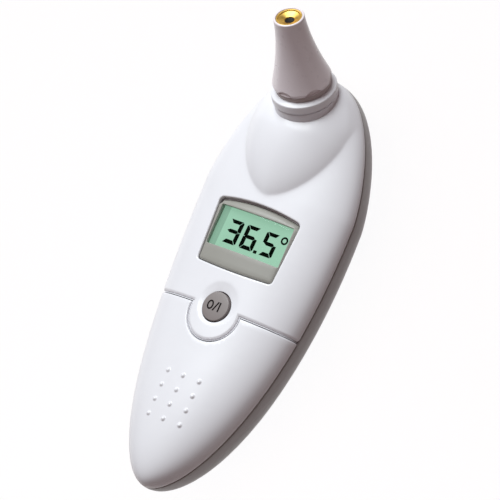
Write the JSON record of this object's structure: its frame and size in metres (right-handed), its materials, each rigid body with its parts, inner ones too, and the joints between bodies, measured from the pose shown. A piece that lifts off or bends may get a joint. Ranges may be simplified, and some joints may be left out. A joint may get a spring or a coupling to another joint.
{
  "type": "infrared ear thermometer",
  "caption": "Hand-held infrared ear thermometer with a flared leaning probe, small display, power button, scan button and slide-off battery cover.",
  "frame": {"origin": "centre of the flat land on the back that the thermometer rests on when it lies down", "axes": "+Y towards the probe end, +Z out of the front face, +X to the right-hand side seen from the front"},
  "size_m": [0.046, 0.1219, 0.046],
  "materials": {
    "white_shell": "satin moulded",
    "grey_shell": "satin moulded",
    "probe_plastic": "smooth moulded",
    "bezel_plastic": "fine matt",
    "button_plastic": "fine matt",
    "dark_plastic": "matt",
    "seal_rubber": "matt",
    "clear_lens": "clear",
    "lcd": "reflective liquid crystal",
    "board_laminate": "solder mask",
    "flex_film": "film",
    "gold_plate": "polished",
    "bright_steel": "bright",
    "machined_metal": "turned"
  },
  "bodies": {
    "casing": {"front_shell": "white_shell", "probe_collar": "white_shell", "battery_tray": "white_shell", "rear_shell": "grey_shell", "probe_cone": "probe_plastic", "probe_seal": "seal_rubber", "waveguide": "gold_plate", "sensor_barrel": "machined_metal", "retaining_nut": "machined_metal", "sensor_can": "bright_steel", "sensor_header": "gold_plate", "sensor_ribbon": "flex_film", "display_bezel": "bezel_plastic", "display_lens": "clear_lens", "lcd_glass": "lcd", "lcd_frame": "dark_plastic", "connector_strip_lower": "seal_rubber", "connector_strip_upper": "seal_rubber", "main_board": "board_laminate", "processor_chip": "dark_plastic", "crystal": "bright_steel", "capacitor_left": "dark_plastic", "capacitor_right": "dark_plastic", "buzzer": "bright_steel", "power_switch": "dark_plastic", "scan_switch": "dark_plastic", "coin_cell": "bright_steel", "battery_contact_negative": "bright_steel", "battery_contact_positive": "bright_steel", "tray_screw_1": "bright_steel", "tray_screw_2": "bright_steel", "tray_screw_3": "bright_steel", "board_screw_1": "bright_steel", "board_screw_2": "bright_steel", "housing_screw_1": "bright_steel", "housing_screw_2": "bright_steel"},
    "power_button": {"power_button": "button_plastic"},
    "power_plunger": {"power_switch_plunger": "button_plastic"},
    "scan_button": {"scan_button": "button_plastic"},
    "scan_plunger": {"scan_switch_plunger": "button_plastic"},
    "battery_cover": {"battery_cover": "white_shell"}
  },
  "joints": [
    {"name": "power_button_press", "type": "slide", "parent": "casing", "child": "power_button", "axis": [0, 0, -1], "range_m": [0, 0.0006], "stiffness_N_per_m": 1200},
    {"name": "power_plunger_travel", "type": "slide", "parent": "casing", "child": "power_plunger", "axis": [0, 0, -1], "range_m": [0, 0.0006]},
    {"name": "scan_button_press", "type": "slide", "parent": "casing", "child": "scan_button", "axis": [0, 0, 1], "range_m": [0, 0.0006], "stiffness_N_per_m": 1200},
    {"name": "scan_plunger_travel", "type": "slide", "parent": "casing", "child": "scan_plunger", "axis": [0, 0, 1], "range_m": [0, 0.0006]},
    {"name": "battery_cover_slide", "type": "slide", "parent": "casing", "child": "battery_cover", "axis": [0, -0.9903, 0.1392], "range_m": [0, 0.03]}
  ],
  "couplings": [
    {"joint": "power_plunger_travel", "follows": "power_button_press", "ratio": 1},
    {"joint": "scan_plunger_travel", "follows": "scan_button_press", "ratio": 1}
  ]
}
